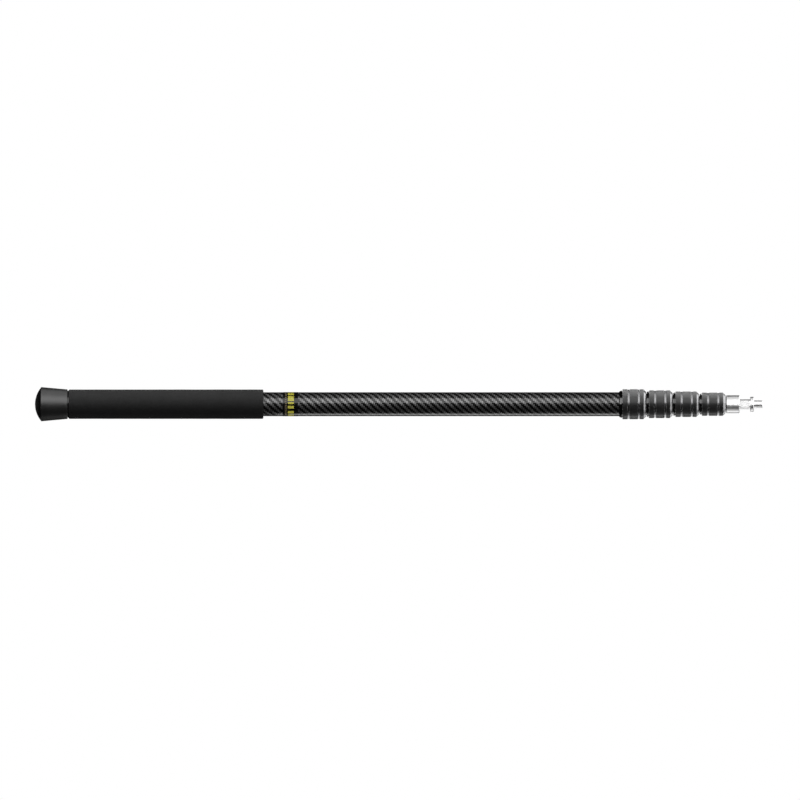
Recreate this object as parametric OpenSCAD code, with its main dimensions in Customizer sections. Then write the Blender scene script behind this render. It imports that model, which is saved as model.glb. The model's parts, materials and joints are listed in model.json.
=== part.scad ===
// Telescopic boom pole: five nested carbon-fibre sections, four twist locks, a foam grip with a
// screw-off end cap, and a quick-release tip. The pole lies along +X, with the tip at the +X end.
// Origin: on the pole's axis, at the middle of the foam grip. Units: millimetres.

/* [Pole] */
// Closed length, from the dome of the end cap to the end of the tip
closed_len = 797.75; // [775:0.25:900]
// How far each inner section pulls out
travel = 550; // [400:5:570]
// Outside diameter of the widest tube
tube_od = 26.3; // [25:0.1:26.7]
// Wall of every tube
tube_wall = 0.75; // [0.7:0.05:0.8]
// Each section is this much smaller in diameter than the one around it
section_step = 2.5; // [2.5:0.1:3]

/* [End cap] */
// Height of the rubber dome
dome_h = 6.75; // [6:0.25:12]
// Length of the tapered cap
cap_len = 29; // [27:0.1:34]
// Diameter of the cap at its rim
cap_rim_d = 37.6; // [36:0.1:42]
// Diameter of the cap at its mouth
cap_mouth_d = 32.4; // [32:0.1:36]
// Dark groove between the cap and the grip
cap_groove = 1.2; // [1:0.1:3]

/* [Foam grip] */
// Length of the grip
grip_len = 213.5; // [150:0.5:240]
// Diameter of the grip
grip_d = 32.3; // [31:0.1:36]

/* [Marking band] */
// Width of the printed band
band_w = 16.5; // [8:0.5:30]
// Distance from the grip to the band
band_gap = 21.5; // [5:0.5:40]

/* [Twist locks] */
// Diameter of the widest collar over its rubber rings
collar_od = 33; // [33:0.1:35]
// Length of a collar
collar_len = 26; // [25:0.1:26.5]
// Distance from one collar to the next when the pole is closed
lock_pitch = 29.05; // [29:0.05:32]
// Length of the conical flange behind the first collar
flange_len = 4.4; // [3:0.1:6]

/* [Tip] */
// Diameter of the tip's base
tip_base_d = 19.6; // [19:0.1:22]
// Length of the tip's base
tip_base_len = 14.4; // [14:0.1:18]
// Diameter of the neck
neck_d = 10.6; // [10.4:0.1:12]
// Length of the neck
neck_len = 11.9; // [10:0.1:13]
// Distance across the neck's two scalloped flats
neck_flats = 7.8; // [7:0.1:9]
// Diameter of the retaining ring
ring_d = 16.2; // [14:0.1:18]
// Length of the retaining ring
ring_len = 3.9; // [3:0.1:5]
// Diameter of the pilot pin at the very end
pilot_d = 8.2; // [6:0.1:9]
// Length of the pilot pin
pilot_len = 9.5; // [6:0.1:12]

/* [Hidden] */
$fn = 96;
sections = 5;
locks = sections - 1;

cut = 1;             // how far a cutting shape runs past what it cuts
bond = 0.02;         // glue line, and the gap round a pressed piece
running = 0.05;      // radial gap of a thread or a sliding fit
step_r = section_step / 2;

// Places along the pole. Section and lock numbers count from 1.
grip_x0 = -grip_len / 2;
grip_x1 = grip_len / 2;
mouth_x = grip_x0 - cap_groove;
rim_x = mouth_x - cap_len;
apex_x = rim_x - dome_h;
rest_gap = 0.7;      // axial gap ahead of each closed collar, which leaves it room to unscrew
tip_len = tip_base_len + neck_len + ring_len + pilot_len;
tip_x = apex_x + closed_len - tip_len;
function lock_x(n) = tip_x - rest_gap - collar_len - (locks - n) * lock_pitch;

// Tubes. Every inner tube has the same length up to its lock.
tube_in_ferrule = 12;
spigot_len = 30;
inner_start = grip_x0 + spigot_len + 3;
tube_in_tip = 3;
function tube_r(n) = tube_od / 2 - (n - 1) * step_r;
function bore_r(n) = tube_r(n) - tube_wall;
function tube_x0(n) = n == 1 ? grip_x0 : inner_start + (n - 2) * lock_pitch;
function tube_x1(n) = n == sections ? tip_x + tube_in_tip : lock_x(n) + tube_in_ferrule;

// Guide shims at the lower end of each inner tube, and the keyways that they run in
shim_inset = 1.5;
shim_r = step_r - tube_wall - running;
shim_x0 = inner_start + shim_inset;
stop_gap = 0.5;      // left between a shim and its lip when a section is pulled right out
shim_x1 = lock_x(1) + tube_in_ferrule - stop_gap - travel;
shim_split = 1;
key_w = 2;
key_depth = 0.3;
key_clear = 0.1;
peg_r = 1.5;

// Twist locks. Places along the pole are counted from the back face of the lock's collar,
// ferrule heights from the surface of the outer tube, and collet heights from the inner one's.
lip_x1 = 15;         // end of the lip that stops the shims
lip_clear = 0.15;
thread_h = 1.1;
thread_x1 = 13;
collar_gap = 0.6;    // dark gap between a ferrule's shoulder and its collar
short_flange = lock_pitch - collar_len - rest_gap;
first_flange_h = 0.5;
short_flange_h = 1.4;
flange_land = 0.6;
shoulder_drop = 0.8;
shoulder_land = 0.5;
collet_x0 = lip_x1 + running;
collet_cone_x = 16.6;
collet_x1 = 22.4;
collet_base_h = 2;
collet_nose_h = 0.9;
collet_slot = 1.2;
lug_w = 2.4;
lug_len = 1.1;
lug_turn = 90;       // keeps the lugs a quarter turn from the keyways
mouth_clear = 0.25;

// A collar's outside: three rubber rings with bare metal between them, and a chamfered rim
ring_x = [[0, 5.7], [7.7, 16.9], [18.9, 23.3]];
land_drop = 0.5;
recess_drop = 1.5;
rim_drop = 2.9;
ring_edge = 0.5;

// End cap and its seal
cap_thread_r = 13;
cap_thread_len = 10;
cap_flange_r = 15.3;
cap_gap = 0.2;       // left between the cap's mouth and the base ferrule's flange
flange_t = cap_groove - cap_gap;
cap_cavity_r = 11.5;
cap_wall = 3.5;
seal_r = 0.75;
seal_clear = 0.1;
seal_mid_r = cap_thread_r + seal_r + seal_clear;
seal_seat_r = seal_mid_r + seal_r + running;
seal_seat_depth = 2 * (seal_r + bond) - cap_gap;
base_bore_r = 10.5;
spigot_wall = 1;
stem_r = 5;
barb_r = 6;
barb_nose_r = 4;
barb_len = 4;

// Tip
stud_r = 4.76;
stud_len = 8;
plug_len = 22;
plug_flange = 1.5;
tip_seat_depth = tube_in_tip + plug_flange + 2 * running;
hole_floor = 1.2;    // metal left between the stud's hole and the neck
scallop_r = 15;

edge = 0.5;          // chamfer on turned edges

// A solid of revolution about the pole: points are [radius, x]
module turned(points) {
    rotate([0, 90, 0]) rotate_extrude() polygon(points);
}

// A plain tube about the pole
module pipe(x0, x1, r_out, r_in) {
    turned([[r_in, x0], [r_out, x0], [r_out, x1], [r_in, x1]]);
}

// Puts its children at the top and again at the bottom of the pole
module top_and_bottom() {
    for (turn = [0, 180]) rotate([turn, 0, 0]) children();
}

module end_cap() {
    seat_x = mouth_x - seal_seat_depth;
    thread_x = mouth_x - cap_thread_len - cut;
    color([0.16, 0.16, 0.17]) turned([
        [stem_r, rim_x],
        [cap_rim_d / 2 - edge, rim_x],
        [cap_rim_d / 2, rim_x + edge],
        [cap_mouth_d / 2, mouth_x - edge],
        [cap_mouth_d / 2 - edge, mouth_x],
        [seal_seat_r, mouth_x],
        [seal_seat_r, seat_x],
        [cap_thread_r + running, seat_x],
        [cap_thread_r + running, thread_x],
        [cap_cavity_r, thread_x],
        [cap_cavity_r, rim_x + cap_wall],
        [stem_r, rim_x + cap_wall]
    ]);
}

// Rubber dome with a stem that snaps through the cap's end wall
module cap_bumper() {
    rim_r = cap_rim_d / 2 - edge;
    ball_r = (rim_r * rim_r + dome_h * dome_h) / (2 * dome_h);
    barb_x = rim_x + cap_wall + bond;
    color([0.03, 0.03, 0.03]) union() {
        intersection() {
            translate([apex_x + ball_r, 0, 0]) sphere(r = ball_r);
            pipe(apex_x - cut, rim_x - bond, rim_r + cut, 0);
        }
        turned([
            [0, rim_x - 2 * cut],
            [stem_r - bond, rim_x - 2 * cut],
            [stem_r - bond, barb_x],
            [barb_r, barb_x],
            [barb_nose_r, barb_x + barb_len],
            [0, barb_x + barb_len]
        ]);
    }
}

// O-ring between the cap's mouth and the base ferrule
module cap_seal() {
    seal_x = grip_x0 - flange_t - seal_r - bond;
    color([0.02, 0.02, 0.02]) translate([seal_x, 0, 0]) rotate([0, 90, 0])
        rotate_extrude() translate([seal_mid_r, 0]) circle(r = seal_r);
}

// Threaded bush glued into the lower end of the widest tube
module base_ferrule() {
    flange_x = grip_x0 - flange_t;
    boss_x = flange_x - cap_thread_len;
    spigot_r = bore_r(1) - bond;
    color([0.05, 0.05, 0.05]) turned([
        [base_bore_r, boss_x],
        [cap_thread_r - edge, boss_x],
        [cap_thread_r, boss_x + edge],
        [cap_thread_r, flange_x],
        [cap_flange_r, flange_x],
        [cap_flange_r, grip_x0 - bond],
        [spigot_r, grip_x0 - bond],
        [spigot_r, grip_x0 + spigot_len],
        [spigot_r - spigot_wall, grip_x0 + spigot_len],
        [spigot_r - spigot_wall, grip_x0],
        [base_bore_r, grip_x0]
    ]);
}

module foam_grip() {
    r = grip_d / 2;
    color([0.13, 0.13, 0.13]) turned([
        [tube_r(1) + bond, grip_x0],
        [r - 2 * edge, grip_x0],
        [r, grip_x0 + 2 * edge],
        [r, grip_x1 - edge],
        [r - edge, grip_x1],
        [tube_r(1) + bond, grip_x1]
    ]);
}

// Thin printed film round the tube
module marking_band() {
    x0 = grip_x1 + band_gap;
    color([0.85, 0.8, 0.15]) pipe(x0, x0 + band_w, tube_r(1) + 0.12, tube_r(1) + bond / 2);
}

// Two long keyways inside tube n, for the shims of the section inside it
module keyways(n) {
    groove_w = key_w + 2 * key_clear;
    top_and_bottom() translate([tube_x0(n) - cut, -groove_w / 2, bore_r(n) - cut])
        cube([tube_x1(n) - tube_x0(n) + 2 * cut, groove_w, cut + key_depth]);
}

// One carbon-fibre tube
module tube(n) {
    color([0.09, 0.09, 0.1]) difference() {
        pipe(tube_x0(n), tube_x1(n), tube_r(n), bore_r(n));
        if (n < sections) keyways(n);
        if (n > 1) shim_pegs(n, peg_r + running, cut);
    }
}

// Middle of the shims of section n, along the pole
function shim_mid(n) = (shim_x0 + shim_x1) / 2 + (n - 2) * lock_pitch;

// Pegs of section n's shims, or the holes for them
module shim_pegs(n, r, reach) {
    top_and_bottom() translate([shim_mid(n), 0, bore_r(n) - reach])
        cylinder(r = r, h = tube_wall + shim_r / 2 + reach);
}

// Two plastic half shells at the lower end of tube n, each with a key and a peg
module guide_shims(n) {
    x0 = shim_x0 + (n - 2) * lock_pitch;
    x1 = shim_x1 + (n - 2) * lock_pitch;
    r_in = tube_r(n) + bond;
    r_out = tube_r(n) + shim_r;
    color([0.85, 0.85, 0.82]) difference() {
        union() {
            pipe(x0, x1, r_out, r_in);
            intersection() {
                pipe(x0, x1, r_out + key_depth, r_in);
                top_and_bottom() translate([x0, -key_w / 2, r_in])
                    cube([x1 - x0, key_w, 2 * shim_r]);
            }
            shim_pegs(n, peg_r, -bond);
        }
        translate([x0 - cut, -r_out - cut, -shim_split / 2])
            cube([x1 - x0 + 2 * cut, 2 * (r_out + cut), shim_split]);
    }
}

// Radius of lock n's collar over its rubber rings
function collar_r(n) = collar_od / 2 - (n - 1) * step_r;

// Threaded ferrule glued over the upper end of tube n. Its inner lip stops the shims.
module lock_ferrule(n) {
    x = lock_x(n);
    first = n == 1;
    back = x - (first ? flange_len : short_flange);
    back_r = tube_r(n) + (first ? first_flange_h : short_flange_h);
    shoulder_r = collar_r(n) - shoulder_drop;
    shoulder_x = x - collar_gap;
    color([0.04, 0.04, 0.045]) difference() {
        turned([
            [tube_r(n) + bond, back],
            [back_r, back],
            [back_r, back + flange_land],
            [shoulder_r, shoulder_x - shoulder_land],
            [shoulder_r, shoulder_x],
            [tube_r(n) + thread_h, shoulder_x],
            [tube_r(n) + thread_h, x + thread_x1],
            [tube_r(n) + thread_h - edge, x + thread_x1 + edge],
            [tube_r(n) + thread_h - edge, x + lip_x1],
            [tube_r(n + 1) + lip_clear, x + lip_x1],
            [tube_r(n + 1) + lip_clear, x + tube_in_ferrule + bond],
            [tube_r(n) + bond, x + tube_in_ferrule + bond]
        ]);
        rotate([lug_turn, 0, 0]) collet_lugs(n, lug_w + 2 * key_clear, running);
    }
}

// Two lugs that keep collet n from turning, or the notches for them
module collet_lugs(n, width, spare) {
    x0 = lock_x(n) + lip_x1 - lug_len - spare;
    top_and_bottom() translate([x0, -width / 2, tube_r(n + 1) + 2 * running - spare])
        cube([lug_len + spare + cut / 2, width, step_r + 2 * spare]);
}

// Split, tapered clamping ring of lock n
module collet(n) {
    x = lock_x(n);
    r = tube_r(n + 1);
    color([0.9, 0.9, 0.88]) difference() {
        union() {
            turned([
                [r + running, x + collet_x0],
                [r + collet_base_h, x + collet_x0],
                [r + collet_base_h, x + collet_cone_x],
                [r + collet_nose_h, x + collet_x1],
                [r + running, x + collet_x1]
            ]);
            rotate([lug_turn, 0, 0]) collet_lugs(n, lug_w, 0);
        }
        translate([x + collet_x0 - cut, -collet_slot / 2, -r - 2 * collet_base_h])
            cube([collet_x1, collet_slot, 2 * collet_base_h + cut]);
    }
}

// Aluminium collar of lock n, with a step and two recesses for its rubber rings, and a cone
// that squeezes the collet
module lock_collar(n) {
    x = lock_x(n);
    r = collar_r(n);
    inner = tube_r(n + 1);
    bore = tube_r(n) + thread_h + running;
    cone_x1 = x + collet_x1 + 4 * running;
    recesses = [for (ring = ring_x) each [
        if (ring[0] > 0) [r - land_drop, x + ring[0]],
        [r - recess_drop, x + ring[0]],
        [r - recess_drop, x + ring[1]],
        [r - land_drop, x + ring[1]]
    ]];
    color([0.72, 0.72, 0.74]) turned(concat(
        [[bore, x]],
        recesses,
        [
            [r - rim_drop, x + collar_len],
            [inner + mouth_clear, x + collar_len],
            [inner + mouth_clear, cone_x1],
            [inner + collet_nose_h + running, cone_x1],
            [inner + collet_base_h + running, x + collet_cone_x],
            [bore, x + collet_cone_x]
        ]
    ));
}

// Three rubber rings on collar n
module collar_grips(n) {
    x = lock_x(n);
    r = collar_r(n);
    color([0.12, 0.12, 0.12]) for (ring = ring_x) turned([
        [r - recess_drop + bond, x + ring[0] + bond],
        [r - ring_edge, x + ring[0] + bond],
        [r, x + ring[0] + ring_edge],
        [r, x + ring[1] - ring_edge],
        [r - ring_edge, x + ring[1] - bond],
        [r - recess_drop + bond, x + ring[1] - bond]
    ]);
}

// Plug glued into the narrowest tube, with the stud that the tip screws onto
module tip_plug() {
    tube_end = tube_x1(sections);
    spigot_r = bore_r(sections) - bond;
    stud_x = tube_end + bond + plug_flange;
    color([0.72, 0.72, 0.74]) turned([
        [0, tube_end - plug_len],
        [spigot_r, tube_end - plug_len],
        [spigot_r, tube_end + bond],
        [tube_r(sections), tube_end + bond],
        [tube_r(sections), stud_x],
        [stud_r, stud_x],
        [stud_r, stud_x + stud_len - edge],
        [stud_r - edge, stud_x + stud_len],
        [0, stud_x + stud_len]
    ]);
}

// Turned steel tip: base, neck with two scalloped flats, retaining ring and pilot pin
module quick_release_tip() {
    seat_r = tube_r(sections) + 2 * running;
    neck_x = tip_x + tip_base_len;
    ring_x0 = neck_x + neck_len;
    pilot_x = ring_x0 + ring_len;
    end_x = pilot_x + pilot_len;
    hole_x = neck_x - hole_floor;
    color([0.8, 0.8, 0.82]) difference() {
        turned([
            [seat_r, tip_x],
            [tip_base_d / 2 - edge, tip_x],
            [tip_base_d / 2, tip_x + edge],
            [tip_base_d / 2, neck_x - edge],
            [tip_base_d / 2 - edge, neck_x],
            [neck_d / 2, neck_x],
            [neck_d / 2, ring_x0],
            [ring_d / 2 - edge, ring_x0],
            [ring_d / 2, ring_x0 + edge],
            [ring_d / 2, pilot_x - edge],
            [ring_d / 2 - edge, pilot_x],
            [pilot_d / 2, pilot_x],
            [pilot_d / 2, end_x - edge],
            [pilot_d / 2 - edge, end_x],
            [0, end_x],
            [0, hole_x],
            [stud_r + running, hole_x],
            [stud_r + running, tip_x + tip_seat_depth],
            [seat_r, tip_x + tip_seat_depth]
        ]);
        for (side = [-1, 1])
            translate([(neck_x + ring_x0) / 2, side * (neck_flats / 2 + scallop_r), -neck_d])
                intersection() {
                    cylinder(r = scallop_r, h = 2 * neck_d);
                    translate([-neck_len / 2, -2 * scallop_r, 0])
                        cube([neck_len, 4 * scallop_r, 2 * neck_d]);
                }
    }
}

end_cap();
cap_bumper();
cap_seal();
base_ferrule();
foam_grip();
marking_band();
tip_plug();
quick_release_tip();
for (n = [1:sections])
    tube(n);
for (n = [2:sections])
    guide_shims(n);
for (n = [1:locks]) {
    lock_ferrule(n);
    collet(n);
    lock_collar(n);
    collar_grips(n);
}
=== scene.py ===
"""The looks of a five-section carbon-fibre boom pole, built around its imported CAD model.

The pole lies along +X with its tip at the +X end, and +Z is up. Everything is in metres.
Turned pieces that show are built here again with rounded edges, real screw threads and
surface relief, from the places and sizes of the CAD nodes that they replace.
"""

import json
import math

import bmesh
import bpy
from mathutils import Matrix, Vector, noise

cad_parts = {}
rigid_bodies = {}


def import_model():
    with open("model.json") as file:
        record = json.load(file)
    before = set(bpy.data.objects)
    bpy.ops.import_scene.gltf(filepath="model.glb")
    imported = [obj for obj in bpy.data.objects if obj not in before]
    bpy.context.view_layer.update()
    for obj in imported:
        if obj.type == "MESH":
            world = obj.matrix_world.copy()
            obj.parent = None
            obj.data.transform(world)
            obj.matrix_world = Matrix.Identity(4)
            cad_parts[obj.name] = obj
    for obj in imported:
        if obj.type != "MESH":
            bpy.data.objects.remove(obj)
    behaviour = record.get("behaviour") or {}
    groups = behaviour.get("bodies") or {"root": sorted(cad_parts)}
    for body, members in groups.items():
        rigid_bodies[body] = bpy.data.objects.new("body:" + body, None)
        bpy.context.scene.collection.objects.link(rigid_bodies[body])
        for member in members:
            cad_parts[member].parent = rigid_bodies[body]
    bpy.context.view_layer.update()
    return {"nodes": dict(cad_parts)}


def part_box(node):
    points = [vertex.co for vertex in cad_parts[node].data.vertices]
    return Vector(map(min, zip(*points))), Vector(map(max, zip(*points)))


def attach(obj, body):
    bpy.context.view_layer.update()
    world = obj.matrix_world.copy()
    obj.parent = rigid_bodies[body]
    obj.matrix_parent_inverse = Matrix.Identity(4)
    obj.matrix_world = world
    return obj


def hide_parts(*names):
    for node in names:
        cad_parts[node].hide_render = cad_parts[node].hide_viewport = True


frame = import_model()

LOCKS = (1, 2, 3, 4)
SECTIONS = (1, 2, 3, 4, 5)
MM = 0.001


# ---------------------------------------------------------------- camera and studio

# The photograph's view: level, square to the pole, from far off with a long lens.
VIEW_WIDTH = 0.8773
CAMERA_AWAY = 20
CAMERA_SEES = 200
SENSOR = 0.036
VIEW_CENTRE = Vector((0.2566, 0, 0.0046))

FLOOR_Z = -0.6
FLOOR_SIZE = 80

# How bright the floor and the backdrop are to the camera, and the backdrop to the pole.
WHITE = 1.0
DIM = 0.02

# Softboxes round the pole: name, angle above the front, angle that it spans, radiance,
# where it starts and ends along X, what it lights, and which pieces if not all of them.
# Angles are in degrees: 0 is the camera's side, 90 is above and -90 below.
SOFTBOXES = (
    ("key", 35, 48, 1.9, -0.5, 3.0, "glossy"),
    ("key_left", 50, 96, 1.9, -6.0, -1.0, "glossy"),
    ("key_middle", 34, 63, 1.9, -1.0, -0.5, "glossy"),
    ("under_rear", -115, 24, 1.75, 0.115, 1.0, "glossy"),
    ("backdrop", 180, 18, 1.0, -3.0, 3.5, "glossy"),
    ("overhead", 66, 40, 5.0, -1.5, 2.0, "diffuse"),
    ("underneath", -95, 40, 0.95, -1.5, 2.0, "diffuse"),
    ("rear", 165, 40, 1.5, -1.5, 2.0, "diffuse"),
    ("cap_top", 90, 58, 0.95, -0.8, 0.3, "glossy", "cap"),
    ("tube_top", 80, 42, 0.13, -0.5, 2.0, "glossy", "tubes"),
    ("band_front", -25, 60, 2.7, -1.0, 1.5, "diffuse", "marks"),
    ("ring_top", 82, 38, 3.3, -0.5, 2.0, "glossy", "rings"),
    ("ring_back", 116, 30, 2.6, -0.5, 2.0, "glossy", "rings"),
    ("ring_low", -85, 26, 0.3, -0.5, 2.0, "glossy", "rings"),
    ("collar_top", 80, 42, 1.3, -0.5, 2.0, "glossy", "collars"),
    ("collar_back", 116, 30, 0.6, -0.5, 2.0, "glossy", "collars"),
    ("collar_low", -90, 24, 0.4, -0.5, 2.0, "glossy", "collars"),
    ("collar_low_back", -143, 32, 1.7, -0.5, 2.0, "glossy", "collars"),
    ("tip_low", -86, 34, 0.6, -0.5, 2.0, "glossy", "tip"),
    ("tip_overhead", 88, 44, 0.8, -0.5, 2.0, "glossy", "tip"),
    ("tip_front", 1, 11, 3.0, -1.5, 2.4, "glossy", "tip"),
)
SOFTBOX_AWAY = 1.2

# Two more softboxes beyond the tip: name, place from the tip, width, height and radiance.
TIP_PLACE = Vector((0.55, 0, 0))
TIP_SOFTBOXES = (
    ("tip_side", Vector((1.9, 0.5, 1.0)), 2.4, 1.8, 2.6),
    ("tip_side_low", Vector((1.9, 0.1, -0.45)), 2.0, 1.2, 1.8),
)

# The pieces that some softboxes light alone, by the starts of their names.
LIT_ALONE = {
    "cap": "end_cap_shell",
    "tubes": "tube_",
    "marks": "band_marks",
    "rings": "grip_ring_",
    "collars": "collar_shell_",
    "tip": "quick_release_tip",
}


def make_camera():
    data = bpy.data.cameras.new("camera")
    data.sensor_width = SENSOR * 1000
    data.lens = SENSOR * 1000 * CAMERA_AWAY / VIEW_WIDTH
    data.clip_end = CAMERA_SEES
    camera = bpy.data.objects.new("camera", data)
    camera.location = VIEW_CENTRE + Vector((0, -CAMERA_AWAY, 0))
    camera.rotation_euler = (math.radians(90), 0, 0)
    bpy.context.scene.collection.objects.link(camera)
    bpy.context.scene.camera = camera


def area_light(name, place, target, width, height, radiance, lights="all"):
    """A rectangular softbox of one radiance that points at a target."""
    data = bpy.data.lights.new(name, "AREA")
    data.shape = "RECTANGLE"
    data.size = width
    data.size_y = height
    data.energy = radiance * math.pi * width * height
    light = bpy.data.objects.new(name, data)
    light.location = place
    light.rotation_euler = (target - place).to_track_quat("-Z", "Y").to_euler()
    light.visible_camera = False
    light.visible_glossy = lights != "diffuse"
    light.visible_diffuse = lights != "glossy"
    bpy.context.scene.collection.objects.link(light)
    return light


def softbox(name, angle, spans, radiance, start, end, lights, only=None):
    """A softbox along the pole, at an angle above the front, turned to face the pole's axis."""
    turn = math.radians(angle)
    middle = Vector(((start + end) / 2, 0, 0))
    place = middle + SOFTBOX_AWAY * Vector((0, -math.cos(turn), math.sin(turn)))
    height = 2 * SOFTBOX_AWAY * math.tan(math.radians(spans / 2))
    light = area_light(name, place, middle, end - start, height, radiance, lights)
    if only:
        light.light_linking.receiver_collection = lit_group(only)


def lit_group(name):
    """The pieces that some softboxes light alone."""
    group = bpy.data.collections.get(name)
    if not group:
        group = bpy.data.collections.new(name)
        for piece in bpy.data.objects:
            if piece.name.startswith(LIT_ALONE[name]):
                group.objects.link(piece)
    return group


def make_floor():
    """A plain white floor that only the camera sees, so that it throws no light up at the pole."""
    half = FLOOR_SIZE / 2
    turns = ((-1, -1), (1, -1), (1, 1), (-1, 1))
    corners = [(half * x, half * y, FLOOR_Z) for x, y in turns]
    mesh = bpy.data.meshes.new("floor")
    mesh.from_pydata(corners, [], [(0, 1, 2, 3)])
    floor = bpy.data.objects.new("floor", mesh)
    bpy.context.scene.collection.objects.link(floor)
    floor.visible_diffuse = False
    floor.visible_glossy = False
    floor.visible_transmission = False
    floor.visible_shadow = False
    material = bpy.data.materials.new("floor_white")
    material.use_nodes = True
    tree = material.node_tree
    tree.nodes.clear()
    glow = tree.nodes.new("ShaderNodeEmission")
    glow.inputs["Strength"].default_value = WHITE
    output = tree.nodes.new("ShaderNodeOutputMaterial")
    tree.links.new(glow.outputs[0], output.inputs["Surface"])
    mesh.materials.append(material)


def make_world():
    """White behind the pole to the camera, and nearly dark to the pole itself."""
    world = bpy.data.worlds.new("studio")
    bpy.context.scene.world = world
    world.use_nodes = True
    tree = world.node_tree
    backdrop = tree.nodes["Background"]
    backdrop.inputs["Color"].default_value = (1, 1, 1, 1)
    rays = tree.nodes.new("ShaderNodeLightPath")
    level = tree.nodes.new("ShaderNodeMapRange")
    level.inputs["To Min"].default_value = DIM
    level.inputs["To Max"].default_value = WHITE
    tree.links.new(rays.outputs["Is Camera Ray"], level.inputs["Value"])
    tree.links.new(level.outputs["Result"], backdrop.inputs["Strength"])


def make_studio():
    """The floor, the backdrop and the lights. The pieces exist by now, so lit_group finds them."""
    make_floor()
    make_world()
    for box in SOFTBOXES:
        softbox(*box)
    for name, offset, width, height, radiance in TIP_SOFTBOXES:
        area_light(name, TIP_PLACE + offset, TIP_PLACE, width, height, radiance, "glossy")
    bpy.context.scene.view_settings.view_transform = "Standard"


# ---------------------------------------------------------------- materials


class Surface:
    """A material with short ways to add and link its nodes."""

    def __init__(self, name, **sockets):
        self.material = bpy.data.materials.new(name)
        self.material.use_nodes = True
        self.tree = self.material.node_tree
        self.shader = self.tree.nodes["Principled BSDF"]
        for socket, value in sockets.items():
            title = socket.replace("_", " ").title().replace("Ior", "IOR")
            self.feed(self.shader.inputs[title], value)
        self.place = self.tree.nodes.new("ShaderNodeTexCoord").outputs["Object"]

    def feed(self, socket, value):
        if isinstance(value, bpy.types.NodeSocket):
            self.tree.links.new(value, socket)
        elif value is not None:
            socket.default_value = value

    def add(self, kind, *inputs, **settings):
        node = self.tree.nodes.new(kind)
        for name, value in settings.items():
            setattr(node, name, value)
        for socket, value in zip(node.inputs, inputs):
            self.feed(socket, value)
        return node

    def math(self, operation, *inputs):
        return self.add("ShaderNodeMath", *inputs, operation=operation).outputs[0]

    def axes(self):
        split = self.add("ShaderNodeSeparateXYZ", self.place)
        return split.outputs[0], split.outputs[1], split.outputs[2]

    def scaled(self, scales):
        """The place on the piece, stretched by one factor for each axis."""
        node = self.add("ShaderNodeVectorMath", self.place, scales, operation="MULTIPLY")
        return node.outputs[0]

    def noise(self, vector, scale=1, detail=2, roughness=0.5):
        node = self.add("ShaderNodeTexNoise")
        self.feed(node.inputs["Vector"], vector)
        node.inputs["Scale"].default_value = scale
        node.inputs["Detail"].default_value = detail
        node.inputs["Roughness"].default_value = roughness
        return node.outputs["Fac"]

    def cells(self, vector, scale, randomness=1):
        node = self.add("ShaderNodeTexVoronoi", feature="F1")
        self.feed(node.inputs["Vector"], vector)
        node.inputs["Scale"].default_value = scale
        node.inputs["Randomness"].default_value = randomness
        return node.outputs["Distance"]

    def between(self, value, low, high, new_low, new_high):
        node = self.add("ShaderNodeMapRange", value, low, high, new_low, new_high)
        return node.outputs["Result"]

    def mix_colour(self, factor, first, second):
        node = self.add("ShaderNodeMix", data_type="RGBA")
        self.feed(node.inputs[0], factor)
        self.feed(node.inputs[6], first)
        self.feed(node.inputs[7], second)
        return node.outputs[2]

    def grey(self, value):
        node = self.add("ShaderNodeCombineColor", value, value, value)
        return node.outputs[0]

    def bump(self, height, depth, strength=1.0):
        """Surface relief: height runs from 0 to 1, and depth is the real height of 1."""
        node = self.add("ShaderNodeBump")
        node.inputs["Strength"].default_value = strength
        node.inputs["Distance"].default_value = depth
        self.feed(node.inputs["Height"], height)
        self.feed(self.shader.inputs["Normal"], node.outputs["Normal"])


# The carbon weave: a yarn's width, how many yarns make a repeat, and the tones of its two ways.
# The hoop tone is a painted sheen and the axial tone a painted shade: a lit and a shaded copy
# of the same black carbon, in place of how each way of yarn reflects the light.
YARN = 1.88 * MM
TWILL_REPEAT = 4
HOOP_PAINTED_SHEEN_TONE = 0.195
AXIAL_PAINTED_SHADE_TONE = 0.003


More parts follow.
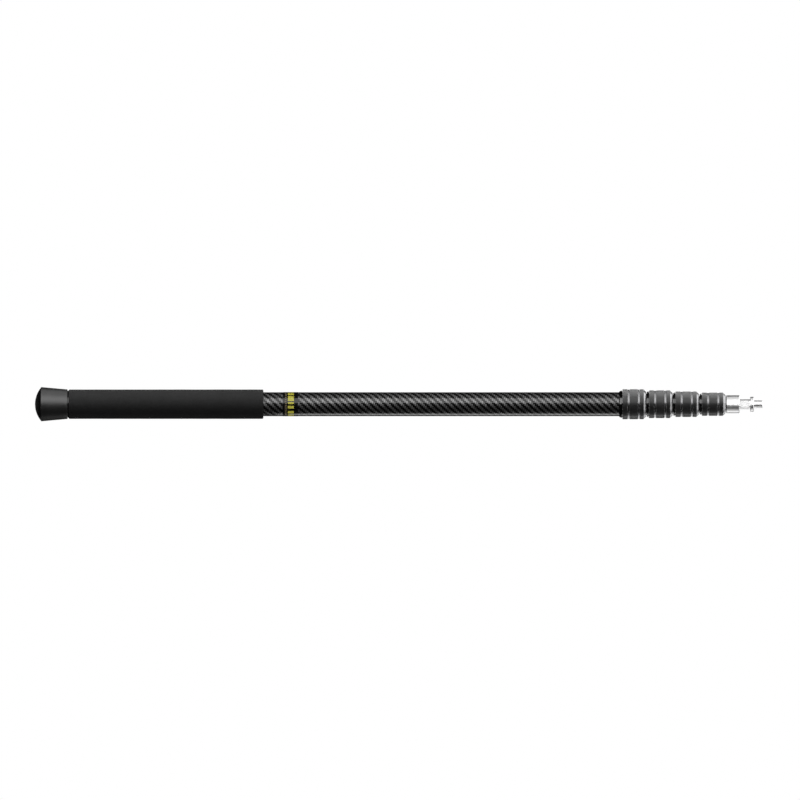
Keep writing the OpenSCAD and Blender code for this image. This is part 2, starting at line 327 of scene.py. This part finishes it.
def carbon_twill(section):
    """Two-by-two twill of flat yarns, axial and hoop, under clear gloss lacquer.

    A whole number of repeats goes round each tube. The hoop yarns are painted bright and the
    axial yarns dark. This painted sheen and painted shade in the colour stand in for how each way
    of yarn reflects the light. No two stretches of hoop yarn that show between axial yarns get
    quite the same painted sheen. Each yarn is also painted darker towards its edges and where it
    dips under another yarn: painted shade in the weave's creases.
    """
    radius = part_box(f"tube_{section}")[1].z
    repeats = round(2 * math.pi * radius / (YARN * TWILL_REPEAT))
    rows = repeats * TWILL_REPEAT
    s = Surface(f"carbon_twill_{section}", metallic=0.94, roughness=0.5,
                coat_weight=1.0, coat_roughness=0.05, coat_ior=1.5)
    x, y, z = s.axes()
    around = s.math("ARCTAN2", z, s.math("MULTIPLY", y, -1.0))
    column = s.math("MULTIPLY", x, 1 / YARN)
    row = s.math("MULTIPLY", around, rows / (2 * math.pi))
    column_number = s.math("FLOOR", column)
    row_number = s.math("FLOOR", row)
    across_hoop = s.math("SUBTRACT", column, column_number)
    across_axial = s.math("SUBTRACT", row, row_number)
    step = s.math("FLOORED_MODULO", s.math("ADD", column_number, row_number), TWILL_REPEAT)
    hoop_on_top = s.math("LESS_THAN", step, 1.5)

    def crown(value, power):
        wave = s.math("SINE", s.math("MULTIPLY", value, math.pi))
        return s.math("POWER", s.math("MAXIMUM", wave, 0.0), power)

    def along(lengthwise, offset):
        part = s.math("FLOORED_MODULO", s.math("ADD", lengthwise, offset), TWILL_REPEAT)
        return s.math("MULTIPLY", part, 0.5)

    hoop_along = along(s.math("ADD", column_number, row), 0.0)
    axial_along = along(s.math("ADD", column, row_number), 2.0)
    hoop_height = s.math("MULTIPLY", crown(across_hoop, 0.45), crown(hoop_along, 0.35))
    axial_height = s.math("MULTIPLY", crown(across_axial, 0.45), crown(axial_along, 0.35))

    fine, long = 9 / YARN, 0.35 / YARN
    hoop_fibres = s.noise(s.scaled((fine, long, long)), detail=3)
    axial_fibres = s.noise(s.scaled((long, fine, fine)), detail=3)
    repeat = s.math("DIVIDE", s.math("ADD", column_number, row), TWILL_REPEAT)
    crossing = s.add("ShaderNodeCombineXYZ", column_number, s.math("FLOOR", repeat)).outputs[0]
    luck = s.add("ShaderNodeTexWhiteNoise", crossing, noise_dimensions="2D").outputs["Value"]
    # painted sheen on the hoop yarns and painted shade on the axial yarns; the fibre streaks and a
    # random factor for each stretch vary them
    hoop_painted_sheen = s.math("MULTIPLY", s.between(hoop_fibres, 0.25, 0.75, 0.55, 1.3), HOOP_PAINTED_SHEEN_TONE)
    hoop_painted_sheen = s.math("MULTIPLY", hoop_painted_sheen, s.between(luck, 0.0, 1.0, 0.72, 1.28))
    axial_painted_shade = s.math("MULTIPLY", s.between(axial_fibres, 0.25, 0.75, 0.5, 1.5), AXIAL_PAINTED_SHADE_TONE)

    def top(hoop, axial):
        node = s.add("ShaderNodeMix", hoop_on_top, data_type="FLOAT")
        s.feed(node.inputs[2], axial)
        s.feed(node.inputs[3], hoop)
        return node.outputs[0]

    height = top(hoop_height, axial_height)
    # painted shade: each yarn's colour darkens towards its edges and where it dips under the
    # crossing yarn
    tone = s.math("MULTIPLY", top(hoop_painted_sheen, axial_painted_shade), s.between(height, 0.0, 0.7, 0.25, 1.0))
    s.feed(s.shader.inputs["Base Color"], s.grey(tone))
    s.bump(height, 0.05 * MM, strength=0.5)
    return s.material


def foam_material():
    s = Surface("eva_foam", roughness=0.9, specular_ior_level=0.1)
    pores = s.cells(s.place, 2600)
    grain = s.noise(s.place, scale=900, detail=4, roughness=0.6)
    cloud = s.noise(s.place, scale=60, detail=2)
    height = s.math("ADD", s.math("MULTIPLY", pores, 0.7), s.math("MULTIPLY", grain, 0.5))
    speckle = s.between(grain, 0.3, 0.7, 0.8, 1.2)
    tone = s.math("MULTIPLY", speckle, s.between(cloud, 0.3, 0.7, 0.93, 1.07))
    s.feed(s.shader.inputs["Base Color"], s.grey(s.math("MULTIPLY", tone, 0.02)))
    s.bump(height, 0.12 * MM, strength=0.5)
    return s.material


def rubber_material(name, tone, roughness, specular, bloom=0.0):
    """Moulded rubber. Bloom is the paleness that shows where the surface turns away."""
    s = Surface(name, roughness=roughness, specular_ior_level=specular,
                sheen_weight=bloom, sheen_roughness=0.4)
    grain = s.noise(s.place, scale=3500, detail=3, roughness=0.6)
    patches = s.noise(s.place, scale=150, detail=3)
    colour = s.grey(s.between(patches, 0.3, 0.7, tone * 0.8, tone * 1.2))
    dullness = s.between(patches, 0.3, 0.7, roughness - 0.04, roughness + 0.04)
    s.feed(s.shader.inputs["Base Color"], colour)
    s.feed(s.shader.inputs["Roughness"], dullness)
    s.bump(grain, 0.015 * MM, strength=0.5)
    return s.material


def anodised_material(name, tone, roughness, grain_depth=0.004 * MM):
    """Coloured anodised aluminium over a fine blasted surface."""
    s = Surface(name, metallic=1.0, roughness=roughness)
    blast = s.noise(s.place, scale=6000, detail=2)
    wear = s.noise(s.place, scale=90, detail=4, roughness=0.65)
    colour = s.grey(s.between(wear, 0.3, 0.7, tone * 0.93, tone * 1.07))
    dullness = s.between(wear, 0.3, 0.7, roughness - 0.03, roughness + 0.03)
    s.feed(s.shader.inputs["Base Color"], colour)
    s.feed(s.shader.inputs["Roughness"], dullness)
    s.bump(blast, grain_depth, strength=0.4)
    return s.material


def turned_metal(name, tone, tint, roughness, bloom=0.0, flats=None):
    """Bright metal with the fine rings that a lathe tool leaves round the pole's axis.

    Flats is the start, end and radius of a neck whose ground flats are duller than the rest.
    """
    s = Surface(name, metallic=1.0, roughness=roughness,
                sheen_weight=bloom, sheen_roughness=0.4)
    lines = s.noise(s.scaled((9000, 60, 60)), detail=3, roughness=0.6)
    smudge = s.noise(s.place, scale=120, detail=3)
    level = s.between(lines, 0.3, 0.7, tone * 0.96, tone * 1.03)
    shades = [s.math("MULTIPLY", level, part) for part in tint]
    s.feed(s.shader.inputs["Base Color"], s.add("ShaderNodeCombineColor", *shades).outputs[0])
    dullness = s.between(smudge, 0.3, 0.7, roughness - 0.03, roughness + 0.04)
    if flats:
        x, y, z = s.axes()
        squares = s.math("ADD", s.math("MULTIPLY", y, y), s.math("MULTIPLY", z, z))
        across = s.math("SQRT", squares)
        start, end, neck_r = flats
        inside = s.math("MULTIPLY", s.math("GREATER_THAN", x, start), s.math("LESS_THAN", x, end))
        ground = s.math("MULTIPLY", inside, s.math("LESS_THAN", across, neck_r))
        dullness = s.math("ADD", dullness, s.math("MULTIPLY", ground, 0.15))
    s.feed(s.shader.inputs["Roughness"], dullness)
    s.bump(lines, 0.002 * MM, strength=0.4)
    return s.material


def nylon_material():
    s = Surface("natural_nylon", roughness=0.45)
    mottle = s.noise(s.place, scale=400, detail=3)
    colour = s.mix_colour(mottle, (0.70, 0.68, 0.60, 1), (0.80, 0.79, 0.72, 1))
    s.feed(s.shader.inputs["Base Color"], colour)
    s.bump(mottle, 0.01 * MM, strength=0.4)
    return s.material


def film_material(name, colour, coat):
    """Printed film: a flat ink layer with faint mottling under a gloss coat."""
    s = Surface(name, roughness=0.5, specular_ior_level=0.1, coat_weight=coat, coat_roughness=0.05)
    mottle = s.noise(s.place, scale=1500, detail=3)
    paler = tuple(part * 1.15 for part in colour)
    s.feed(s.shader.inputs["Base Color"], s.mix_colour(mottle, (*colour, 1), (*paler, 1)))
    s.bump(mottle, 0.003 * MM, strength=0.3)
    return s.material


# ---------------------------------------------------------------- mesh building

SEGMENTS = 144
CORNER_STEPS = 5


def rounded(corners):
    """An outline with rounded corners. Each corner is (x, radius from the axis, rounding)."""
    points = []
    count = len(corners)
    for index, (x, r, rounding) in enumerate(corners):
        here = Vector((x, r))
        before = Vector(corners[index - 1][:2]) - here
        after = Vector(corners[(index + 1) % count][:2]) - here
        reach = min(rounding, 0.45 * before.length, 0.45 * after.length)
        if reach <= 0:
            points.append((x, r))
            continue
        start = here + before.normalized() * reach
        end = here + after.normalized() * reach
        for step in range(CORNER_STEPS + 1):
            t = step / CORNER_STEPS
            point = start * (1 - t) ** 2 + here * 2 * t * (1 - t) + end * t * t
            points.append((point.x, point.y))
    return points


def subdivided(outline, start, end, step):
    """The outline with extra points, so that between start and end no step is longer than step."""
    points = []
    for (x0, r0), (x1, r1) in zip(outline, outline[1:] + outline[:1]):
        points.append((x0, r0))
        inside = min(x0, x1) < end and max(x0, x1) > start
        pieces = math.ceil(abs(x1 - x0) / step) if inside else 1
        for number in range(1, pieces):
            t = number / pieces
            points.append((x0 + (x1 - x0) * t, r0 + (r1 - r0) * t))
    return points


def turned(name, outline, material, relief=None, sharp=32):
    """A solid turned about the pole's axis from a closed outline of (x, radius) points.

    relief(x, r, angle) gives how far a point stands out from the turned shape.
    """
    mesh = bmesh.new()
    rings = []
    for x, r in outline:
        if r < 1e-6:
            rings.append([mesh.verts.new((x, 0, 0))] * SEGMENTS)
            continue
        ring = []
        for number in range(SEGMENTS):
            angle = 2 * math.pi * number / SEGMENTS
            out = r + (relief(x, r, angle) if relief else 0)
            ring.append(mesh.verts.new((x, -out * math.cos(angle), out * math.sin(angle))))
        rings.append(ring)
    for ring, following in zip(rings, rings[1:] + rings[:1]):
        for number in range(SEGMENTS):
            other = (number + 1) % SEGMENTS
            corners = [ring[number], ring[other], following[other], following[number]]
            corners = [c for index, c in enumerate(corners) if c not in corners[:index]]
            if len(corners) > 2:
                mesh.faces.new(corners)
    bmesh.ops.recalc_face_normals(mesh, faces=mesh.faces)
    return finished(name, mesh, material, sharp)


def finished(name, mesh, material, sharp):
    """Turns a bmesh into a piece with smooth faces and crisp edges above an angle."""
    data = bpy.data.meshes.new(name)
    mesh.to_mesh(data)
    mesh.free()
    data.materials.append(material)
    data.shade_smooth()
    data.set_sharp_from_angle(angle=math.radians(sharp))
    piece = bpy.data.objects.new(name, data)
    bpy.context.scene.collection.objects.link(piece)
    return piece


def installed(piece, body, slot, *nodes):
    """Puts a piece on its body and hides the CAD nodes it stands for. The slot argument is not
    used.
    """
    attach(piece, body)
    if nodes:
        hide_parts(*nodes)
    return piece


def span(node):
    """Where a node starts and ends along the pole, and its outer radius."""
    low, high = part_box(node)
    return low.x, high.x, high.z


def thread(start, end, outward=True):
    """Relief of a screw thread between start and end: a V groove with flats that runs out."""
    depth = -THREAD_DEPTH if outward else THREAD_DEPTH

    def relief(x, angle):
        if not start < x < end:
            return 0
        turn = (x / THREAD_PITCH - angle / (2 * math.pi)) % 1
        groove = min(1, max(0, 1.5 - 3 * abs(2 * turn - 1)))
        fade = min(1, (x - start) / THREAD_PITCH, (end - x) / THREAD_PITCH)
        return depth * groove * fade

    return relief


# ---------------------------------------------------------------- pieces

THREAD_PITCH = 1.5 * MM
THREAD_DEPTH = 0.55 * MM
THREAD_STEP = THREAD_PITCH / 10

# Sizes of the end cap, of the bush that it screws onto and of the dome's stem.
CAP_MOUTH_R = 16.2 * MM
CAP_THREAD_R = 13 * MM
CAP_CAVITY_R = 11.5 * MM
CAP_WALL = 3.5 * MM
CAP_THREAD_LENGTH = 10 * MM
SEAL_SEAT_R = 14.65 * MM
SEAL_SEAT_DEPTH = 1.3 * MM
BUSH_BORE_R = 10.5 * MM
BUSH_FLANGE = 1 * MM
STEM_R = 5 * MM
BARB_R = 6 * MM
BARB_NOSE_R = 4 * MM
DOME_STEPS = 28
SLIP = 0.05 * MM

# The glue line under a piece that is bonded to another.
BOND = 0.02 * MM

# The base ferrule's flange, and the part of it that is glued into the tube.
FLANGE_R = 14.9 * MM
SPIGOT_DROP = 0.8 * MM
SPIGOT_WALL = 1 * MM


def make_end_cap(material):
    start, end, rim_r = span("end_cap")
    seat = end - SEAL_SEAT_DEPTH
    thread_start = end - CAP_THREAD_LENGTH - 1 * MM
    outline = rounded([
        (start, STEM_R, 0.3 * MM),
        (start, rim_r, 0.4 * MM),
        (end, CAP_MOUTH_R, 0.5 * MM),
        (end, SEAL_SEAT_R, 0.3 * MM),
        (seat, SEAL_SEAT_R, 0),
        (seat, CAP_THREAD_R + SLIP, 0),
        (thread_start, CAP_THREAD_R + SLIP, 0),
        (thread_start, CAP_CAVITY_R, 0),
        (start + CAP_WALL, CAP_CAVITY_R, 0),
        (start + CAP_WALL, STEM_R, 0),
    ])
    bore = CAP_THREAD_R + 2 * SLIP
    cut = thread(thread_start, seat, outward=False)
    outline = subdivided(outline, thread_start, seat, THREAD_STEP)
    piece = turned(
        "end_cap_shell", outline, material,
        relief=lambda x, r, angle: cut(x, angle) if abs(r - bore) < 0.2 * MM else 0,
    )
    return installed(piece, "cap", "grey_metal", "end_cap")


def make_cap_dome(material):
    """A shallow ball's cap with a thin lip, on a stem whose barb snaps through the cap's wall."""
    apex, barb_end, _ = span("cap_bumper")
    rim_x, _, cap_r = span("end_cap")
    rim_r = cap_r - 0.4 * MM
    height = rim_x - apex
    ball_r = (rim_r ** 2 + height ** 2) / (2 * height)
    arc = math.asin(rim_r / ball_r)
    dome = []
    for step in range(DOME_STEPS + 1):
        turn = arc * step / DOME_STEPS
        dome.append((apex + ball_r * (1 - math.cos(turn)), ball_r * math.sin(turn)))
    dome[0] = (apex, 0)
    lip = [(rim_x - 0.25 * MM, rim_r), (rim_x - 0.02 * MM, rim_r - 0.3 * MM)]
    barb_x = rim_x + CAP_WALL
    stem = [
        (rim_x - 0.02 * MM, STEM_R - 0.1 * MM),
        (barb_x, STEM_R - 0.1 * MM),
        (barb_x + 0.1 * MM, BARB_R),
        (barb_end, BARB_NOSE_R),
        (barb_end, 0),
    ]
    outline = [point for point in dome if point[0] < rim_x - 0.3 * MM] + lip + stem
    piece = turned("cap_dome", outline, material, sharp=40)
    return installed(piece, "cap", "rubber", "cap_bumper")


def make_base_bush(material):
    start, end, _ = span("base_ferrule")
    grip_start, _, _ = span("foam_grip")
    flange = grip_start - BUSH_FLANGE
    spigot_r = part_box("tube_1")[1].z - SPIGOT_DROP
    outline = rounded([
        (start, BUSH_BORE_R, 0.3 * MM),
        (start, CAP_THREAD_R, 0.5 * MM),
        (flange, CAP_THREAD_R, 0),
        (flange, FLANGE_R, 0.4 * MM),
        (grip_start, FLANGE_R, 0.1 * MM),
        (grip_start, spigot_r, 0),
        (end, spigot_r, 0.3 * MM),
        (end, spigot_r - SPIGOT_WALL, 0),
        (grip_start, spigot_r - SPIGOT_WALL, 0),
        (grip_start, BUSH_BORE_R, 0),
    ])
    cut = thread(start + 0.6 * MM, flange - 1 * MM)
    outline = subdivided(outline, start, flange, THREAD_STEP)
    piece = turned(
        "base_bush", outline, material,
        relief=lambda x, r, angle: cut(x, angle) if r > CAP_THREAD_R - 0.1 * MM else 0,
    )
    return installed(piece, "handle", "black_metal", "base_ferrule")


# The foam's slow waves: how far they stand out, and how close they are along and round the grip.
GRIP_SWELL = 0.06 * MM
GRIP_WAVES_ALONG = 60
GRIP_WAVES_ROUND = 1.6
GRIP_STEP = 2.5 * MM


def make_grip(material):
    start, end, radius = span("foam_grip")
    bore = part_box("tube_1")[1].z + BOND
    outline = rounded([
        (start, bore, 0),
        (start, radius, 1.6 * MM),
        (end, radius, 1.5 * MM),
        (end, bore, 0),
    ])
    outline = subdivided(outline, start, end, GRIP_STEP)

    def relief(x, r, angle):
        if r < radius - 0.5 * MM:
            return 0
        across, up = math.cos(angle), math.sin(angle)
        place = Vector((x * GRIP_WAVES_ALONG, GRIP_WAVES_ROUND * across, GRIP_WAVES_ROUND * up))
        return GRIP_SWELL * (noise.noise(place) - 0.4)

    piece = turned("grip_sleeve", outline, material, relief=relief)
    return installed(piece, "handle", "foam", "foam_grip")


# The printed band: a row of dots beside plain blocks of different lengths. The blocks are in
# degrees above the front, and come twice round the tube. Spans are counted from the band's start.
BAND_MARKS = ((-72, -58), (-50, -34), (-21, -8), (1, 10), (15, 42), (49, 65), (72, 86))
BAND_DOTS = 34
BLOCK_SPAN = (5.5 * MM, 12.0 * MM)
DOT_SPAN = (2.2 * MM, 4.2 * MM)


def curved_patch(mesh, x0, x1, low, high, inner, outer, steps=8):
    """Adds a thin curved block between two places along the pole and two angles round it."""
    section = ((x0, inner), (x0, outer), (x1, outer), (x1, inner))
    rows = []
    for step in range(steps + 1):
        angle = low + (high - low) * step / steps
        way = Vector((0, -math.cos(angle), math.sin(angle)))
        rows.append([mesh.verts.new(Vector((x, 0, 0)) + way * r) for x, r in section])
    for row, following in zip(rows, rows[1:]):
        for corner in range(4):
            other = (corner + 1) % 4
            mesh.faces.new((row[corner], row[other], following[other], following[corner]))
    mesh.faces.new(rows[0])
    mesh.faces.new(rows[-1][::-1])


def make_band(film, yellow, pale):
    start, end, radius = span("marking_band")
    tube_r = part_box("tube_1")[1].z
    outline = rounded([
        (start, tube_r + 0.01 * MM, 0),
        (start, radius, 0.05 * MM),
        (end, radius, 0.05 * MM),
        (end, tube_r + 0.01 * MM, 0),
    ])
    piece = turned("band_film", outline, film)
    installed(piece, "handle", "band_print", "marking_band")

    inner, outer = radius - 0.02 * MM, radius + 0.03 * MM
    marks = bmesh.new()
    x0, x1 = (start + x for x in BLOCK_SPAN)
    for side in (0, 180):
        for low, high in BAND_MARKS:
            low_turn, high_turn = math.radians(side + low), math.radians(side + high)
            curved_patch(marks, x0, x1, low_turn, high_turn, inner, outer)
    bmesh.ops.recalc_face_normals(marks, faces=marks.faces)
    installed(finished("band_marks_blocks", marks, yellow, 32), "handle", "band_print")

    dots = bmesh.new()
    x0, x1 = (start + x for x in DOT_SPAN)
    for number in range(BAND_DOTS):
        low_turn, high_turn = ((number + part) / BAND_DOTS * 2 * math.pi for part in (0.0, 0.5))
        curved_patch(dots, x0, x1, low_turn, high_turn, inner, outer, steps=2)
    bmesh.ops.recalc_face_normals(dots, faces=dots.faces)
    installed(finished("band_marks_dots", dots, pale, 32), "handle", "band_print")


# Twist locks: places are counted from the back face of a collar.
RUBBER_SPANS = ((0, 5.7 * MM), (7.7 * MM, 16.9 * MM), (18.9 * MM, 23.3 * MM))
LAND_DROP = 0.5 * MM
RECESS_DROP = 1.5 * MM
RIM_DROP = 2.9 * MM
THREAD_HEIGHT = 1.1 * MM
MOUTH_CLEAR = 0.25 * MM
CONE_START = 16.6 * MM
CONE_END = 22.6 * MM
FERRULE_THREAD_END = 13 * MM

# The heights of the cone that squeezes the collet, counted from the next tube's surface.
CONE_WIDE = 2.05 * MM
CONE_NARROW = 0.95 * MM

# The gap behind a collar, the clearance of a ferrule's lip, and the rounding of edges.
COLLAR_GAP = 0.6 * MM
LIP_CLEAR = 0.15 * MM
LAND_ROUNDING = 0.12 * MM
RING_ROUNDING = 0.9 * MM


def make_lock_collar(number, material):
    start, end, land_r = span(f"lock_collar_{number}")
    outer_r = land_r + LAND_DROP
    tube_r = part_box(f"tube_{number}")[1].z
    inner_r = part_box(f"tube_{number + 1}")[1].z
    bore = tube_r + THREAD_HEIGHT + SLIP
    corners = [(start, bore, 0.2 * MM)]
    for low, high in RUBBER_SPANS:
        if low > 0:
            corners.append((start + low, land_r, LAND_ROUNDING))
        corners += [
            (start + low, outer_r - RECESS_DROP, 0),
            (start + high, outer_r - RECESS_DROP, 0),
            (start + high, land_r, LAND_ROUNDING),
        ]
    corners += [
        (end, outer_r - RIM_DROP, 0.35 * MM),
        (end, inner_r + MOUTH_CLEAR, 0.3 * MM),
        (start + CONE_END, inner_r + MOUTH_CLEAR, 0),
        (start + CONE_END, inner_r + CONE_NARROW, 0),
        (start + CONE_START, inner_r + CONE_WIDE, 0),
        (start + CONE_START, bore, 0),
    ]
    piece = turned(f"collar_shell_{number}", rounded(corners), material)
    return installed(piece, f"lock_{number}_collar", "bright_metal", f"lock_collar_{number}")


def make_rubber_rings(number, material):
    start, _, land_r = span(f"lock_collar_{number}")
    outer_r = land_r + LAND_DROP
    for ring, (low, high) in enumerate(RUBBER_SPANS, start=1):
        outline = rounded([
            (start + low + BOND, outer_r - RECESS_DROP + BOND, 0),
            (start + low + BOND, outer_r, RING_ROUNDING),
            (start + high - BOND, outer_r, RING_ROUNDING),
            (start + high - BOND, outer_r - RECESS_DROP + BOND, 0),
        ])
        piece = turned(f"grip_ring_{number}_{ring}", outline, material)
        installed(piece, f"lock_{number}_collar", "rubber", f"collar_grips_{number}")


def make_lock_ferrule(number, material):
    """The threaded end of a tube. The first has a cone behind its collar, the others a land."""
    start, end, shoulder_r = span(f"lock_ferrule_{number}")
    collar_x, _, _ = span(f"lock_collar_{number}")
    tube_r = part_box(f"tube_{number}")[1].z
    tube_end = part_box(f"tube_{number}")[1].x
    inner_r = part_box(f"tube_{number + 1}")[1].z
    shoulder = collar_x - COLLAR_GAP
    root = tube_r + THREAD_HEIGHT
    thread_end = collar_x + FERRULE_THREAD_END
    if number == 1:
        back = [
            (start + 0.65 * MM, tube_r + BOND, 0),
            (start + 0.65 * MM, tube_r + 0.3 * MM, 0.1 * MM),
            (start + 1.5 * MM, tube_r + 1.15 * MM, 0.1 * MM),
            (shoulder, shoulder_r - 0.5 * MM, 0.15 * MM),
        ]
    else:
        back_r = tube_r + 1.8 * MM
        back = [
            (start, tube_r + BOND, 0),
            (start, back_r - 0.1 * MM, 0.1 * MM),
            (start + 1.15 * MM, back_r + 0.08 * MM, 0.2 * MM),
            (shoulder - 0.35 * MM, shoulder_r, 0.25 * MM),
            (shoulder, shoulder_r, 0.15 * MM),
        ]
    outline = rounded(back + [
        (shoulder, root, 0),
        (thread_end, root, 0.3 * MM),
        (thread_end + 0.5 * MM, root - 0.5 * MM, 0),
        (end, root - 0.5 * MM, 0),
        (end, inner_r + LIP_CLEAR, 0.1 * MM),
        (tube_end, inner_r + LIP_CLEAR, 0),
        (tube_end, tube_r + BOND, 0),
    ])
    cut = thread(shoulder + 1.5 * MM, thread_end)
    outline = subdivided(outline, shoulder + 1 * MM, thread_end, THREAD_STEP)
    piece = turned(
        f"ferrule_{number}", outline, material,
        relief=lambda x, r, angle: cut(x, angle) if r > root - 0.2 * MM else 0,
    )
    body = "handle" if number == 1 else f"section_{number}"
    return installed(piece, body, "black_metal", f"lock_ferrule_{number}")


# The tip's neck, counted from the tip's back face.
NECK_START = 14.5 * MM
NECK_END = 26.2 * MM
NECK_R = 5.2 * MM


def paint_node(node, material):
    """Gives a CAD node that stays in view its finished material."""
    data = frame["nodes"][node].data
    data.materials.clear()
    data.materials.append(material)


def make_pole():
    rubber = rubber_material("dome_rubber", tone=0.001, roughness=0.6, specular=0.04)
    ring_rubber = rubber_material(
        "ring_rubber", tone=0.014, roughness=0.33, specular=0.38, bloom=1.0)
    satin = anodised_material("satin_grey", tone=0.1, roughness=0.45)
    gloss_black = anodised_material("gloss_black", tone=0.1, roughness=0.1, grain_depth=0)
    bright = turned_metal("bright_aluminium", 0.25, (1.0, 1.0, 1.02), roughness=0.27, bloom=0.5)
    tip_x, _, _ = span("quick_release_tip")
    neck = (tip_x + NECK_START, tip_x + NECK_END, NECK_R)
    steel = turned_metal("polished_steel", 0.8, (1.0, 1.0, 1.0), roughness=0.38, flats=neck)
    nylon = nylon_material()

    make_cap_dome(rubber)
    make_end_cap(satin)
    make_base_bush(gloss_black)
    make_grip(foam_material())
    make_band(
        film_material("band_black", (0.0008, 0.0008, 0.0008), coat=1.0),
        film_material("band_yellow", (0.22, 0.205, 0.022), coat=0.6),
        film_material("band_pale", (0.07, 0.057, 0.032), coat=0.6),
    )
    for number in LOCKS:
        make_lock_ferrule(number, gloss_black)
        make_lock_collar(number, bright)
        make_rubber_rings(number, ring_rubber)
        paint_node(f"collet_{number}", nylon)
        paint_node(f"guide_shims_{number + 1}", nylon)
    for section in SECTIONS:
        paint_node(f"tube_{section}", carbon_twill(section))
    paint_node("cap_seal", rubber)
    paint_node("tip_plug", bright)
    paint_node("quick_release_tip", steel)


make_camera()
make_pole()
make_studio()
